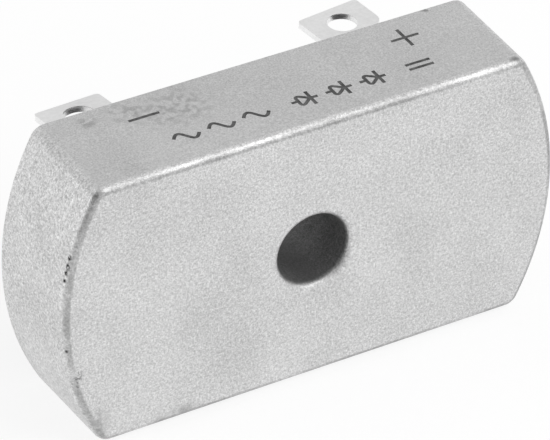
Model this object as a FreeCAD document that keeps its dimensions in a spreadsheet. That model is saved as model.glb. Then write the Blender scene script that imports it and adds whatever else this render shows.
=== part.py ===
import FreeCAD, Part
import os

import Sketcher

# Three-phase bridge rectifier module: a die-cast aluminium case standing on its long side.
# The mounting face looks along -Y, and the potted back with five blade terminals along +Y.
# Lengths are in millimetres. The origin is at the middle of the bottom of the whole part.

# Driving sizes: a name, a value and what it is.
SIZES = [
    ("front_length", 66.0, "mounting face, end to end"),
    ("front_height", 35.4, "mounting face, between its two flat sides"),
    ("end_radius", 35.5, "round ends of the mounting face"),
    ("corner_radius", 2.0, "where a round end meets a flat side"),
    ("case_depth", 15.0, "mounting face to rim"),
    ("draft_angle", 1.63, "outer sides, wider at the rim, in degrees"),
    ("face_edge_radius", 1.14, "rounding round the mounting face"),
    ("rim_edge_radius", 0.32, "rounding round the outside of the rim"),
    ("wall", 2.2, "side wall at the rim"),
    ("floor_thickness", 3.0, "metal behind the mounting face"),
    ("core_draft", 1.0, "inner sides, narrower at the floor, in degrees"),
    ("core_corner_radius", 1.0, "corners of the hollow"),
    ("bore_diameter", 9.3, "mounting hole"),
    ("bore_lip_radius", 1.1, "rounding of the mounting hole at the mounting face"),
    ("bore_back_chamfer", 0.4, "chamfer of the mounting hole at the back"),
    ("boss_wall", 1.6, "metal round the mounting hole"),
    ("fill_gap", 1.2, "potting surface below the rim"),
    ("sheet_thickness", 0.63, "insulating sheet"),
    ("sheet_margin", 0.4, "insulating sheet to the case"),
    ("bus_thickness", 1.0, "copper bus plates"),
    ("bus_margin", 1.0, "bus plates to the case"),
    ("bus_gap", 1.0, "between the two bus plates"),
    ("chip_side", 3.6, "square diode chip"),
    ("chip_thickness", 0.3, "diode chip"),
    ("solder_thickness", 0.1, "solder layer on either face of a chip"),
    ("link_width", 3.6, "copper link between two chips"),
    ("link_thickness", 0.8, "copper link"),
    ("link_margin", 0.8, "copper link to the boss"),
    ("terminal_corner_inset", 10.0, "corner of the mounting face to the middle of an outer terminal"),
    ("terminal_row_inset", 4.75, "flat side of the case to the middle of a blade"),
    ("terminal_reach", 11.35, "blade tip beyond the rim"),
    ("blade_thickness", 0.8, "sheet that the terminals are stamped from"),
    ("stem_width", 4.0, "terminal below its head"),
    ("foot_length", 3.0, "bent foot of a terminal"),
    ("foot_margin", 0.35, "foot to the edges of the plate that it stands on"),
    ("bend_depth", 1.0, "bend of a terminal below the potting surface"),
    ("bend_overlap", 0.4, "blade carried on below the bend, into the stem"),
    ("head_width", 8.75, "terminal head"),
    ("head_length", 5.8, "terminal head, shoulder to tip"),
    ("tip_corner_radius", 0.5, "outer corners of the head"),
    ("shoulder_radius", 1.5, "corners of the head towards the stem"),
    ("neck_radius", 0.8, "inside corners between head and stem"),
    ("hole_diameter", 3.8, "wire hole in a terminal head"),
    ("hole_to_tip", 3.2, "middle of the wire hole to the tip"),
    ("positive_lean", 2.3, "positive blade away from the middle of the case, in degrees"),
    ("positive_swing", 6.9, "positive blade towards -X, in degrees"),
    ("negative_lean", -7.0, "negative blade, leaning to the middle of the case, in degrees"),
    ("negative_swing", 2.2, "negative blade towards -X, in degrees"),
]

# Places worked out from the driving sizes. A level is a depth behind the mounting face;
# heights and places along X are measured from the axis of the mounting hole.
PLACES = [
    ("half_length", "Sizes.front_length / 2"),
    ("half_height", "Sizes.front_height / 2"),
    ("end_centre", "half_length - Sizes.end_radius"),
    ("corner_place", "end_centre + sqrt(Sizes.end_radius^2 - half_height^2)"),
    ("rim_growth", "Sizes.case_depth * tan(Sizes.draft_angle * 1 deg)"),
    ("rim_half_height", "half_height + rim_growth"),
    ("rim_radius", "Sizes.end_radius + rim_growth"),
    ("core_half_height", "rim_half_height - Sizes.wall"),
    ("core_radius", "rim_radius - Sizes.wall"),
    ("core_depth", "Sizes.case_depth - Sizes.floor_thickness"),
    ("core_shrink", "core_depth * tan(Sizes.core_draft * 1 deg)"),
    ("floor_half_height", "core_half_height - core_shrink"),
    ("floor_radius", "core_radius - core_shrink"),
    ("bar_length", "2 * (half_length + rim_growth + Sizes.wall)"),
    ("turning_radius", "bar_length + Sizes.end_radius"),
    ("bore_radius", "Sizes.bore_diameter / 2"),
    ("boss_radius", "bore_radius + Sizes.boss_wall"),
    ("fill_level", "Sizes.case_depth - Sizes.fill_gap"),
    ("sheet_top", "Sizes.floor_thickness + Sizes.sheet_thickness"),
    ("bus_top", "sheet_top + Sizes.bus_thickness"),
    ("chip_bottom", "bus_top + Sizes.solder_thickness"),
    ("chip_top", "chip_bottom + Sizes.chip_thickness"),
    ("link_bottom", "chip_top + Sizes.solder_thickness"),
    ("link_top", "link_bottom + Sizes.link_thickness"),
    ("strip_inner", "boss_radius + Sizes.bus_margin"),
    ("strip_outer", "floor_half_height - Sizes.bus_margin"),
    ("strip_middle", "(strip_inner + strip_outer) / 2"),
    ("strip_radius", "floor_radius - Sizes.bus_margin"),
    ("strip_end", "end_centre + sqrt(strip_radius^2 - strip_outer^2)"),
    ("row_height", "half_height - Sizes.terminal_row_inset"),
    ("terminal_place", "corner_place - Sizes.terminal_corner_inset"),
    ("stem_half", "Sizes.stem_width / 2"),
    ("arm_edge", "terminal_place - stem_half - Sizes.foot_margin"),
    ("strip_start", "arm_edge - Sizes.bus_gap"),
    ("inner_link", "boss_radius + Sizes.link_margin + Sizes.link_width / 2"),
    ("outer_link", "(terminal_place + stem_half + strip_end) / 2"),
    ("link_reach", "strip_middle + Sizes.link_width / 2"),
    ("arm_outer", "row_height + Sizes.blade_thickness / 2 + Sizes.foot_margin"),
    ("arm_inner", "row_height - Sizes.foot_length - Sizes.foot_margin"),
    ("bend_level", "fill_level - Sizes.bend_depth"),
    ("tip_level", "Sizes.case_depth + Sizes.terminal_reach"),
    ("blade_length", "tip_level - bend_level"),
    ("shoulder", "blade_length - Sizes.head_length"),
    ("frame_y", "-tip_level / 2"),
    ("frame_z", "rim_half_height"),
]

# Two points nearer than this are one point.
TOUCH = 0.001

document = FreeCAD.newDocument("bridge_rectifier")
pieces = []


# Sheets and expressions

def fill_sizes():
    """Write the driving sizes to their sheet as plain numbers with aliases."""
    sheet = document.addObject("Spreadsheet::Sheet", "Sizes")
    for row, (name, value, meaning) in enumerate(SIZES, 1):
        sheet.set(f"A{row}", name)
        sheet.set(f"B{row}", str(value))
        sheet.setAlias(f"B{row}", name)
        sheet.set(f"C{row}", meaning)
    document.recompute()


def fill_places():
    """Write the worked-out places to a second sheet, as formulas on the driving sizes."""
    sheet = document.addObject("Spreadsheet::Sheet", "Places")
    for row, (name, formula) in enumerate(PLACES, 1):
        sheet.set(f"A{row}", name)
        sheet.set(f"B{row}", "=" + formula)
        sheet.setAlias(f"B{row}", name)
        document.recompute()


def bind(item, **expressions):
    """Bind properties to expressions; a double underscore stands for a dot in a property's path."""
    for path, expression in expressions.items():
        item.setExpression(path.replace("__", "."), expression)


def value_of(expression):
    """The present value of an expression on the two sheets."""
    return float(document.getObject("Sizes").evalExpression(expression))


def keep(item):
    """List a finished piece; its name is its label and the name of its file."""
    item.Label = item.Name
    pieces.append(item)
    return item


# Sketches

def new_body(name):
    """A body whose own origin is on the axis of the mounting hole, at the mounting face."""
    body = document.addObject("PartDesign::Body", name)
    bind(body, Placement__Base__y="Places.frame_y", Placement__Base__z="Places.frame_z")
    return body


def plane_sketch(body, name, role):
    """A sketch on one of the body's own origin planes."""
    sketch = body.newObject("Sketcher::SketchObject", name)
    plane = next(item for item in body.Origin.OriginFeatures if item.Role == role)
    sketch.AttachmentSupport = [(plane, "")]
    sketch.MapMode = "FlatFace"
    return sketch


def level_sketch(body, name, level):
    """A sketch parallel to the mounting face at a level behind it, drawn in X and Z."""
    sketch = plane_sketch(body, name, "XZ_Plane")
    bind(sketch, AttachmentOffset__Base__z=f"-({level})")
    return sketch


def blade_sketch(body, name, place, level, height, lean="0", swing="0"):
    """A sketch in the plane of a terminal's blade, with its origin at a place, level and height."""
    sketch = plane_sketch(body, name, "XY_Plane")
    bind(
        sketch,
        AttachmentOffset__Base__x=place,
        AttachmentOffset__Base__y=level,
        AttachmentOffset__Base__z=height,
        AttachmentOffset__Rotation__Yaw=swing,
        AttachmentOffset__Rotation__Roll=lean,
    )
    document.recompute()
    return sketch


def hold(sketch, kind, expression, *elements):
    """Add a dimension to a sketch and bind it to an expression."""
    constraint = Sketcher.Constraint(kind, *elements, value_of(expression))
    index = sketch.addConstraint(constraint)
    sketch.setExpression(f"Constraints[{index}]", expression)


def hold_point(sketch, geometry, end, x, y):
    """Hold one point of a sketch at two expressions from the sketch's origin."""
    hold(sketch, "DistanceX", x, -1, 1, geometry, end)
    hold(sketch, "DistanceY", y, -1, 1, geometry, end)


def draw_polygon(sketch, corners):
    """A closed polygon whose corners are pairs of expressions."""
    points = [FreeCAD.Vector(value_of(x), value_of(y), 0) for x, y in corners]
    count = len(corners)
    lines = []
    for index in range(count):
        line = Part.LineSegment(points[index], points[(index + 1) % count])
        lines.append(sketch.addGeometry(line))
    for index, line in enumerate(lines):
        following = lines[(index + 1) % count]
        sketch.addConstraint(Sketcher.Constraint("Coincident", line, 2, following, 1))
    for line, (x, y) in zip(lines, corners):
        hold_point(sketch, line, 1, x, y)


def draw_rectangle(sketch, left, right, low, high):
    """A rectangle between four expressions."""
    draw_polygon(sketch, [(left, low), (right, low), (right, high), (left, high)])


def draw_circle(sketch, x, y, radius):
    """A circle with its centre and radius at expressions."""
    centre = FreeCAD.Vector(value_of(x), value_of(y), 0)
    circle = Part.Circle(centre, FreeCAD.Vector(0, 0, 1), value_of(radius))
    geometry = sketch.addGeometry(circle)
    hold_point(sketch, geometry, 3, x, y)
    hold(sketch, "Radius", radius, geometry)


def draw_case_outline(sketch, half_height, radius):
    """Two flat sides and two round ends about the case's own end centres."""
    centre = value_of("Places.end_centre")
    end = centre + value_of(radius)
    top = value_of(half_height)
    side = centre + (value_of(radius) ** 2 - top**2) ** 0.5
    upper_left = FreeCAD.Vector(-side, top, 0)
    upper_right = FreeCAD.Vector(side, top, 0)
    lower_left = FreeCAD.Vector(-side, -top, 0)
    lower_right = FreeCAD.Vector(side, -top, 0)
    upper = sketch.addGeometry(Part.LineSegment(upper_left, upper_right))
    right = sketch.addGeometry(Part.Arc(lower_right, FreeCAD.Vector(end, 0, 0), upper_right))
    lower = sketch.addGeometry(Part.LineSegment(lower_left, lower_right))
    left = sketch.addGeometry(Part.Arc(upper_left, FreeCAD.Vector(-end, 0, 0), lower_left))
    joints = [(upper, 2, right, 2), (right, 1, lower, 2), (lower, 1, left, 2), (left, 1, upper, 1)]
    for joint in joints:
        sketch.addConstraint(Sketcher.Constraint("Coincident", *joint))
    for line in (upper, lower):
        sketch.addConstraint(Sketcher.Constraint("Horizontal", line))
    hold_point(sketch, right, 3, "Places.end_centre", "0")
    hold_point(sketch, left, 3, "-Places.end_centre", "0")
    hold(sketch, "DistanceY", half_height, -1, 1, upper, 1)
    hold(sketch, "DistanceY", f"-({half_height})", -1, 1, lower, 1)
    hold(sketch, "Radius", radius, right)
    hold(sketch, "Radius", radius, left)


# Features

def pad(body, sketch, name, length, middle=False):
    """Raise a sketch by a length, towards the back or to both sides of its plane."""
    feature = body.newObject("PartDesign::Pad", name)
    feature.Profile = sketch
    feature.Reversed = not middle
    feature.Midplane = middle
    bind(feature, Length=length)
    document.recompute()
    return feature


def cut(body, kind, name, **settings):
    """Add a feature that takes material away from a body, and make sure that it does."""
    before = body.Shape.Volume
    feature = body.newObject(kind, name)
    for setting, value in settings.items():
        setattr(feature, setting, value)
    document.recompute()
    if body.Shape.Volume >= before:
        raise RuntimeError(f"{name} cuts nothing")
    return feature


def edges_where(feature, test):
    """The names of the edges of a feature that pass a test."""
    numbered = enumerate(feature.Shape.Edges, 1)
    names = [f"Edge{number}" for number, edge in numbered if test(edge)]
    if not names:
        raise RuntimeError(f"no such edge on {feature.Name}")
    return names


def round_edges(body, feature, name, test, radius):
    """Fillet the edges of a body's latest feature that pass a test."""
    fillet = body.newObject("PartDesign::Fillet", name)
    fillet.Base = (feature, edges_where(feature, test))
    bind(fillet, Radius=radius)
    document.recompute()
    return fillet


def break_edges(body, feature, name, test, size):
    """Chamfer the edges of a body's latest feature that pass a test."""
    chamfer = body.newObject("PartDesign::Chamfer", name)
    chamfer.Base = (feature, edges_where(feature, test))
    bind(chamfer, Size=size)
    document.recompute()
    return chamfer


def along(edge):
    """A few points along an edge."""
    first, last = edge.ParameterRange
    return [edge.valueAt(first + (last - first) * share) for share in (0.0, 0.31, 0.67, 1.0)]


def edge_levels(edge):
    """The least and the greatest level of an edge."""
    levels = [point.y for point in along(edge)]
    return min(levels), max(levels)


def spans(near, far):
    """A test for the edges that run from one level to another."""
    first, last = value_of(near), value_of(far)

    def test(edge):
        low, high = edge_levels(edge)
        return abs(low - first) < TOUCH and abs(high - last) < TOUCH

    return test


def lies_at(level, within="Sizes.front_length"):
    """A test for the edges that lie at a level, within a distance from the mounting hole's axis."""
    place, limit = value_of(level), value_of(within)

    def test(edge):
        low, high = edge_levels(edge)
        farthest = max((point.x**2 + point.z**2) ** 0.5 for point in along(edge))
        return abs(low - place) < TOUCH and abs(high - place) < TOUCH and farthest < limit

    return test


# The case and its potting

def drafted_block(body, near, far, corner_radius):
    """A bar with drafted flat sides, each end turned to a cone by half a turn, and rounded corners.

    The two sections, near and far, are a level, a half height and an end radius each.
    """
    name = body.Name
    near_level, near_height, near_radius = near
    far_level, far_height, far_radius = far
    section = plane_sketch(body, f"{name}_section", "YZ_Plane")
    lower = [(near_level, f"-{near_height}"), (far_level, f"-{far_height}")]
    draw_polygon(section, lower + [(far_level, far_height), (near_level, near_height)])
    pad(body, section, f"{name}_bar", "Places.bar_length", middle=True)
    for word, side in (("right", ""), ("left", "-")):
        turning = plane_sketch(body, f"{name}_{word}_turning", "XY_Plane")
        bind(turning, AttachmentOffset__Base__x=f"{side}Places.end_centre")
        outside = f"{side}Places.turning_radius"
        inner = [(f"{side}{near_radius}", near_level), (f"{side}{far_radius}", far_level)]
        draw_polygon(turning, inner + [(outside, far_level), (outside, near_level)])
        end = cut(
            body,
            "PartDesign::Groove",
            f"{name}_{word}_end",
            Profile=turning,
            ReferenceAxis=(turning, ["V_Axis"]),
            Angle=180,
            Midplane=True,
        )
    return round_edges(body, end, f"{name}_corners", spans(near_level, far_level), corner_radius)


def make_core():
    """The shape of the hollow: a second drafted block, narrower at the floor."""
    core = document.addObject("PartDesign::Body", "hollow_core")
    floor = ("Sizes.floor_thickness", "Places.floor_half_height", "Places.floor_radius")
    mouth = ("Sizes.case_depth", "Places.core_half_height", "Places.core_radius")
    drafted_block(core, floor, mouth, "Sizes.core_corner_radius")
    return core


def make_case():
    """Die-cast cup: drafted sides, a boss round the mounting hole, and an open back."""
    body = new_body("case")
    face = ("0", "Places.half_height", "Sizes.end_radius")
    rim = ("Sizes.case_depth", "Places.rim_half_height", "Places.rim_radius")
    blank = drafted_block(body, face, rim, "Sizes.corner_radius")
    blank = round_edges(body, blank, "face_edge", lies_at("0"), "Sizes.face_edge_radius")
    round_edges(body, blank, "rim_edge", lies_at("Sizes.case_depth"), "Sizes.rim_edge_radius")
    cut(body, "PartDesign::Boolean", "hollow", Type="Cut", Group=[make_core()])
    root = "Sizes.floor_thickness / 2"
    boss = level_sketch(body, "boss_outline", root)
    draw_circle(boss, "0", "0", "Places.boss_radius")
    pad(body, boss, "boss", f"Sizes.case_depth - {root}")
    hole = level_sketch(body, "hole_outline", "0")
    draw_circle(hole, "0", "0", "Places.bore_radius")
    bored = cut(body, "PartDesign::Pocket", "mounting_hole", Profile=hole, Type="ThroughAll")
    beside = "Places.bore_radius + Sizes.boss_wall / 2"
    lip = round_edges(body, bored, "hole_lip", lies_at("0", within=beside), "Sizes.bore_lip_radius")
    back = lies_at("Sizes.case_depth", within=beside)
    break_edges(body, lip, "hole_back_edge", back, "Sizes.bore_back_chamfer")
    return keep(body)


def make_potting(case, embedded):
    """Resin that fills the hollow round everything in it, up to the potting surface."""
    block = new_body("potting_block")
    outline = level_sketch(block, "potting_outline", "Sizes.floor_thickness")
    half_wall = "Sizes.wall / 2"
    draw_case_outline(outline, f"Places.core_half_height + {half_wall}", f"Places.core_radius + {half_wall}")
    draw_circle(outline, "0", "0", "Places.boss_radius - Sizes.boss_wall / 2")
    pad(block, outline, "potting_fill", "Places.fill_level - Sizes.floor_thickness")
    contents = document.addObject("Part::MultiFuse", "potted_contents")
    contents.Shapes = [case, *embedded]
    potting = document.addObject("Part::Cut", "potting_compound")
    potting.Base = block
    potting.Tool = contents
    document.recompute()
    return keep(potting)


# Circuit

def make_sheet():
    """Insulating sheet on the floor of the case, with a hole for the boss."""
    body = new_body("insulating_sheet")
    sketch = level_sketch(body, "sheet_outline", "Sizes.floor_thickness")
    margin = "Sizes.sheet_margin"
    draw_case_outline(sketch, f"Places.floor_half_height - {margin}", f"Places.floor_radius - {margin}")
    draw_circle(sketch, "0", "0", f"Places.boss_radius + {margin}")
    pad(body, sketch, "sheet", "Sizes.sheet_thickness")
    return keep(body)


def make_plate(name, level, thickness, corners):
    """A flat copper plate, cut to a polygon, lying at a level."""
    body = new_body(name)
    sketch = level_sketch(body, f"{name}_outline", level)
    draw_polygon(sketch, corners)
    pad(body, sketch, f"{name}_sheet", thickness)
    return keep(body)


def make_bus_plates():
    """The positive strip along the upper side, and the negative one with an arm to its terminal."""
    start, end = "-Places.strip_start", "Places.strip_end"
    inner, outer = "Places.strip_inner", "Places.strip_outer"
    positive = [(start, inner), (end, inner), (end, outer), (start, outer)]
    arm, far = "-Places.arm_edge", "-Places.strip_end"
    negative = [
        (far, f"-{outer}"),
        (end, f"-{outer}"),
        (end, f"-{inner}"),
        (arm, f"-{inner}"),
        (arm, outer),
        (far, outer),
    ]
    return [
        make_plate("positive_bus_plate", "Places.sheet_top", "Sizes.bus_thickness", positive),
        make_plate("negative_bus_plate", "Places.sheet_top", "Sizes.bus_thickness", negative),
    ]


def make_wafer(name, place, height, level, thickness):
    """A square layer as wide as a chip, centred on a place and a height."""
    box = document.addObject("Part::Box", name)
    bind(
        box,
        Length="Sizes.chip_side",
        Width=thickness,
        Height="Sizes.chip_side",
        Placement__Base__x=f"{place} - Sizes.chip_side / 2",
        Placement__Base__y=f"{level} + Places.frame_y",
        Placement__Base__z=f"{height} - Sizes.chip_side / 2 + Places.frame_z",
    )
    document.recompute()
    return keep(box)


def make_diode(name, place, height):
    """A diode chip between its two solder layers, on a bus plate."""
    solder = "Sizes.solder_thickness"
    return [
        make_wafer(f"{name}_lower_solder", place, height, "Places.bus_top", solder),
        make_wafer(f"{name}_chip", place, height, "Places.chip_bottom", "Sizes.chip_thickness"),
        make_wafer(f"{name}_upper_solder", place, height, "Places.chip_top", solder),
    ]


def make_link(name, place, terminal):
    """A copper link over the two chips of a phase, with an arm under that phase's terminal."""
    left, right = f"{place} - Sizes.link_width / 2", f"{place} + Sizes.link_width / 2"
    far = f"{terminal} - Places.stem_half - Sizes.foot_margin"
    low, high, arm = "-Places.arm_outer", "Places.link_reach", "-Places.arm_inner"
    corners = [(far, low), (right, low), (right, high), (left, high), (left, arm), (far, arm)]
    return make_plate(name, "Places.link_bottom", "Sizes.link_thickness", corners)


# Terminals

def stands_at(sketch, x, y):
    """A test for the edges that cross a blade at a point of its sketch."""
    back = sketch.Placement.inverse()
    corner = FreeCAD.Vector(value_of(x), value_of(y), 0)

    def test(edge):
        points = [back.multVec(point) for point in along(edge)]
        return all(abs(point.x - corner.x) < TOUCH and abs(point.y - corner.y) < TOUCH for point in points)

    return test


def make_terminal(name, place, row, seat, lean="0", swing="0"):
    """A stamped terminal: a foot bent towards the middle, a stem, and a blade with its head and hole."""
    body = new_body(name)
    height = f"{row} * Places.row_height"
    half = "Sizes.blade_thickness / 2"
    left, right = f"{place} - Places.stem_half", f"{place} + Places.stem_half"
    foot = level_sketch(body, f"{name}_foot_outline", seat)
    draw_rectangle(foot, left, right, f"{height} + {row} * {half}", f"{height} - {row} * Sizes.foot_length")
    pad(body, foot, f"{name}_foot", "Sizes.blade_thickness")
    stem = blade_sketch(body, f"{name}_stem_outline", "0", "0", height)
    draw_rectangle(stem, left, right, seat, "Places.bend_level")
    pad(body, stem, f"{name}_stem", "Sizes.blade_thickness", middle=True)
    blade = blade_sketch(body, f"{name}_blade_outline", place, "Places.bend_level", height, lean, swing)
    stem_side, head_side = "Places.stem_half", "Sizes.head_width / 2"
    base, shoulder, tip = "-Sizes.bend_overlap", "Places.shoulder", "Places.blade_length"
    half_outline = [(stem_side, base), (stem_side, shoulder), (head_side, shoulder), (head_side, tip)]
    mirrored = [(f"-{x}", y) for x, y in reversed(half_outline)]
    draw_polygon(blade, half_outline + mirrored)
    draw_circle(blade, "0", f"{tip} - Sizes.hole_to_tip", "Sizes.hole_diameter / 2")
    feature = pad(body, blade, f"{name}_blade", "Sizes.blade_thickness", middle=True)
    corners = [
        ("neck", stem_side, shoulder, "Sizes.neck_radius"),
        ("shoulders", head_side, shoulder, "Sizes.shoulder_radius"),
        ("tip", head_side, tip, "Sizes.tip_corner_radius"),
    ]
    for word, x, y, radius in corners:
        tests = [stands_at(blade, x, y), stands_at(blade, f"-{x}", y)]
        feature = round_edges(
            body, feature, f"{name}_{word}", lambda edge: any(test(edge) for test in tests), radius
        )
    return keep(body)


def make_circuit():
    """Everything that the resin holds: sheet, plates, chips, links and terminals."""
    contents = [make_sheet(), *make_bus_plates()]
    outer = "Places.terminal_place"
    phases = [
        ("-Places.inner_link", f"-{outer}"),
        ("Places.inner_link", "0"),
        ("Places.outer_link", outer),
    ]
    for number, (link, terminal) in enumerate(phases, 1):
        contents += make_diode(f"positive_diode_{number}", link, "Places.strip_middle")
        contents += make_diode(f"negative_diode_{number}", link, "-Places.strip_middle")
        contents.append(make_link(f"ac_link_{number}", link, terminal))
        contents.append(make_terminal(f"ac_terminal_{number}", terminal, "-1", "Places.link_top"))
    for sign, place in (("positive", outer), ("negative", f"-{outer}")):
        lean, swing = f"Sizes.{sign}_lean", f"Sizes.{sign}_swing"
        contents.append(make_terminal(f"{sign}_terminal", place, "1", "Places.bus_top", lean, swing))
    return contents


# Checks and files

def check_document():
    """Stop if an object failed, or if a piece isn't one closed valid solid."""
    for item in document.Objects:
        if "Invalid" in item.State or "Error" in item.State:
            raise RuntimeError(f"{item.Name} failed: {item.State}")
    for piece in pieces:
        shape = piece.Shape
        if shape.isNull() or not shape.isValid() or len(shape.Solids) != 1:
            raise RuntimeError(f"{piece.Name} is not one valid solid")


def write_files():
    """Write each piece to a file named after it."""
    os.makedirs("parts", exist_ok=True)
    for piece in pieces:
        piece.Shape.exportStep(f"parts/{piece.Label}.step")
        print(f"{piece.Label}: {piece.Shape.Volume:.2f} mm3")


fill_sizes()
fill_places()
case = make_case()
make_potting(case, make_circuit())
document.recompute()
check_document()
write_files()
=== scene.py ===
import logging
import math
from collections.abc import Iterator
from contextlib import contextmanager
from dataclasses import dataclass, field
from enum import Enum

import bmesh
import bpy
from mathutils import Matrix, Vector


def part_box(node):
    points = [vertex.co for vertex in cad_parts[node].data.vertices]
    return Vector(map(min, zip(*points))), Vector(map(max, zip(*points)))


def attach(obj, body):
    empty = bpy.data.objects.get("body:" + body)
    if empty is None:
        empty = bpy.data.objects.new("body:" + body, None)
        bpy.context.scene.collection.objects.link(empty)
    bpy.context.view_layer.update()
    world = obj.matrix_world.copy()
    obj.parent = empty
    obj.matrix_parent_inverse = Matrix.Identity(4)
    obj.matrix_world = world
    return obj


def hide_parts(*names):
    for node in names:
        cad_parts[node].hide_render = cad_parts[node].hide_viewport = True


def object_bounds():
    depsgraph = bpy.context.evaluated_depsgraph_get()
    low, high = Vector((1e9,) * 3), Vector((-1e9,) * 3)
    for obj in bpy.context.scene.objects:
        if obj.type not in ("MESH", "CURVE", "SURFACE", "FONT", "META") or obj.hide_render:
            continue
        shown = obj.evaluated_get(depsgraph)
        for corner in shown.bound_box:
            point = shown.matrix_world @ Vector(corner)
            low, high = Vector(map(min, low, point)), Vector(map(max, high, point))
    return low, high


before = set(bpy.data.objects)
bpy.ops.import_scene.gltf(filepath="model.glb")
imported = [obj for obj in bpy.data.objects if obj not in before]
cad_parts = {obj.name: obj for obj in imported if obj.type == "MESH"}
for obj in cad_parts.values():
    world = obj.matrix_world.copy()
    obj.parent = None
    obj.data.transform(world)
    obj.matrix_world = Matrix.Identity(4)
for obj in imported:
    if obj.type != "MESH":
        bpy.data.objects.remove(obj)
CAD_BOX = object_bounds()

log = logging.getLogger("bridge_rectifier")

MM = 0.001
BODY = "root"
BLADES = {
    "positive_terminal": "positive_blade",
    "negative_terminal": "negative_blade",
    "ac_terminal_1": "ac_blade_1",
    "ac_terminal_2": "ac_blade_2",
    "ac_terminal_3": "ac_blade_3",
}

Colour = tuple[float, float, float]
Limits = tuple[float, float]
Line = list[tuple[float, float]]
Item = bpy.types.Object
Tree = bpy.types.NodeTree
Socket = bpy.types.NodeSocket
Surface = tuple[Socket, Socket, Socket]

# The limits that nearly all values of a noise texture lie between.
NOISE: Limits = (0.3, 0.7)


class Slot(Enum):
    """The record's material slots."""

    CASTING = "cast_aluminium"
    RESIN = "potting_resin"
    TIN = "tinned_blade"
    COPPER = "copper"
    SILICON = "silicon"
    SOLDER = "solder"
    CERAMIC = "ceramic_sheet"


class Glyph(Enum):
    """The plain signs that are cut into the upper side of the case."""

    MINUS = "minus"
    PLUS = "plus"
    WAVE = "alternating current"
    DIODE = "diode"
    STEADY = "direct current"


# Node trees


class Graph:
    """A node tree that is being built, a node at a time."""

    def __init__(self, tree: Tree) -> None:
        """Start on a tree.

        Args:
            tree: the tree to add nodes to; what it holds is removed.
        """
        self.tree = tree
        tree.nodes.clear()

    def add(self, kind: str, inputs: dict | None = None, **settings: object) -> bpy.types.Node:
        """Add a node.

        Args:
            kind: the node's type.
            inputs: values by socket name or number; a socket as the value is linked.
            settings: properties of the node.

        Returns:
            The new node.
        """
        node = self.tree.nodes.new(kind)
        for name, value in settings.items():
            setattr(node, name, value)
        for name, value in (inputs or {}).items():
            if isinstance(value, Socket):
                self.tree.links.new(value, node.inputs[name])
            else:
                node.inputs[name].default_value = value
        return node

    def math(self, operation: str, first: object, second: object = 0.0) -> Socket:
        """Add a Math node.

        Args:
            operation: the node's operation.
            first: its first value, a number or a socket.
            second: its second value.

        Returns:
            The result's socket.
        """
        node = self.add("ShaderNodeMath", {0: first, 1: second}, operation=operation)
        return node.outputs[0]

    def spread(self, value: object, low: float, high: float, start: float = 0.0, end: float = 1.0) -> Socket:
        """Map a value from one range to another, held at the ends.

        Args:
            value: the socket to map.
            low: the value that gives start.
            high: the value that gives end.
            start: the result at low.
            end: the result at high.

        Returns:
            The result's socket.
        """
        limits = {"Value": value, "From Min": low, "From Max": high, "To Min": start, "To Max": end}
        return self.add("ShaderNodeMapRange", limits).outputs["Result"]

    def blend(self, factor: object, first: object, second: object, kind: str = "MIX") -> Socket:
        """Blend two colours.

        Args:
            factor: how much of the second, a number or a socket.
            first: the first colour or socket.
            second: the second colour or socket.
            kind: the blend type.

        Returns:
            The blended colour's socket.
        """
        first = (*first, 1.0) if isinstance(first, tuple) else first
        second = (*second, 1.0) if isinstance(second, tuple) else second
        node = self.add("ShaderNodeMix", {0: factor, 6: first, 7: second}, data_type="RGBA", blend_type=kind)
        return node.outputs[2]

    def tone(self, colour: Socket, factor: Socket) -> Socket:
        """Multiply a colour by a number.

        Args:
            colour: the colour.
            factor: the number.

        Returns:
            The product.
        """
        grey = self.add("ShaderNodeCombineColor", {0: factor, 1: factor, 2: factor}).outputs[0]
        return self.blend(1.0, colour, grey, "MULTIPLY")

    def span(self, first: Socket, second: Socket) -> Socket:
        """The length of the diagonal over two lengths.

        Args:
            first: one length.
            second: the length square to it.

        Returns:
            The diagonal's socket.
        """
        return self.math("SQRT", self.math("ADD", self.math("POWER", first, 2.0), self.math("POWER", second, 2.0)))

    def band(self, value: Socket, rise: Limits, fall: Limits) -> Socket:
        """Mark the values between two soft borders.

        Args:
            value: the value.
            rise: where the mark goes from 0 to 1.
            fall: where it goes back to 0.

        Returns:
            The mark's socket.
        """
        return self.math("MULTIPLY", self.spread(value, *rise), self.spread(value, *fall, 1.0, 0.0))


def open_group(name: str, inputs: dict[str, tuple[str, object]], outputs: dict[str, str]) -> tuple:
    """Make a shader node group.

    Args:
        name: the group's name.
        inputs: for each input, its socket type and its default value.
        outputs: for each output, its socket type.

    Returns:
        The group's graph, its input node and its output node.
    """
    tree = bpy.data.node_groups.new(name, "ShaderNodeTree")
    for label, (kind, default) in inputs.items():
        socket = tree.interface.new_socket(label, in_out="INPUT", socket_type=kind)
        socket.default_value = default
    for label, kind in outputs.items():
        tree.interface.new_socket(label, in_out="OUTPUT", socket_type=kind)
    graph = Graph(tree)
    return graph, graph.add("NodeGroupInput"), graph.add("NodeGroupOutput")


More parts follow.
